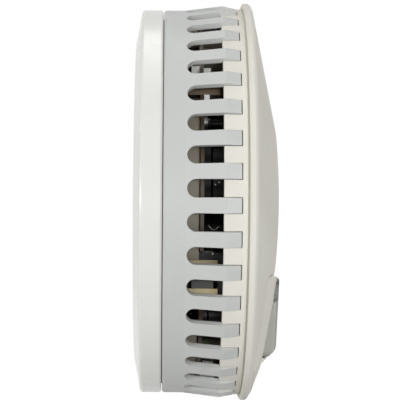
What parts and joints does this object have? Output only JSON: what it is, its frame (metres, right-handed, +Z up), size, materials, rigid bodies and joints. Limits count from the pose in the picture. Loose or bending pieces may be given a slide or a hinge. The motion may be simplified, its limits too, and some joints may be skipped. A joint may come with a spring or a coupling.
{
  "type": "carbon monoxide detector",
  "caption": "Round wall-mounted gas alarm: dished mounting plate, slotted housing, domed front cover with a raised test button and a side battery drawer.",
  "frame": {"origin": "middle of the screw slots on the flat back that lies on the wall", "axes": "+Y into the wall along the alarm's axis, front towards -Y; +Z up; +X to the right seen from the front, the side with the battery drawer"},
  "size_m": [0.142, 0.0508, 0.142],
  "materials": {
    "white_abs": "moulded white ABS, semi-gloss",
    "grey_abs": "moulded cool light grey ABS, fine texture",
    "ivory_abs": "moulded warm white ABS, fine texture",
    "button_grey": "moulded grey ABS, satin",
    "smoked_plastic": "smoked polycarbonate",
    "clear_plastic": "clear acrylic",
    "board_laminate": "brown paper laminate",
    "black_plastic": "moulded black plastic, glossy",
    "brass": "rolled brass",
    "foam": "closed-cell foam",
    "steel": "nickel-plated steel",
    "beige_nylon": "beige nylon",
    "winding_tape": "dark tape over wire",
    "brown_tape": "brown polyester tape",
    "ferrite": "sintered ferrite",
    "chip_epoxy": "moulded epoxy",
    "capacitor_sleeve": "shrink sleeve",
    "film_yellow": "dipped epoxy",
    "resistor_tan": "lacquered ceramic",
    "white_nylon": "white nylon",
    "led_epoxy": "clear epoxy",
    "red_plastic": "moulded red acetal",
    "spring_steel": "drawn spring wire",
    "tinned_brass": "tinned brass",
    "cell_jacket": "printed film over steel can",
    "nickel_plate": "nickel-plated spring strip",
    "zinc_steel": "zinc-plated steel"
  },
  "bodies": {
    "mount": {"mounting_plate": "white_abs"},
    "alarm": {"rear_housing": "grey_abs", "front_cover": "ivory_abs", "status_window": "smoked_plastic", "light_guide": "clear_plastic", "circuit_board": "board_laminate", "horn_body": "black_plastic", "piezo_disc": "brass", "horn_gasket": "foam", "sensor_body": "black_plastic", "sensor_cap": "steel", "transformer_bobbin": "beige_nylon", "transformer_winding": "winding_tape", "transformer_core": "ferrite", "line_choke": "brown_tape", "control_chips": "chip_epoxy", "capacitors": "capacitor_sleeve", "film_capacitor": "film_yellow", "resistors": "resistor_tan", "board_header": "white_nylon", "board_clip": "white_nylon", "alarm_leds": "led_epoxy", "switch_body": "black_plastic", "button_spring": "spring_steel", "power_socket": "black_plastic", "power_pins": "tinned_brass", "cell_contacts": "nickel_plate", "cover_screws": "zinc_steel", "board_screws": "zinc_steel"},
    "button": {"test_button": "button_grey", "switch_plunger": "red_plastic"},
    "drawer": {"battery_drawer": "grey_abs", "battery_upper": "cell_jacket", "battery_lower": "cell_jacket", "cell_bridge": "nickel_plate"}
  },
  "joints": [
    {"name": "alarm_twist", "type": "hinge", "parent": "mount", "child": "alarm", "pos_m": [0, 0, 0], "axis": [0, -1, 0], "range_deg": [0, 12]},
    {"name": "button_press", "type": "slide", "parent": "alarm", "child": "button", "axis": [0, 1, 0], "range_m": [0, 0.0012], "stiffness_N_per_m": 500, "springref_m": -0.002, "deforming": ["button_spring"]},
    {"name": "drawer_slide", "type": "slide", "parent": "alarm", "child": "drawer", "axis": [1, 0, 0], "range_m": [0, 0.05]}
  ]
}
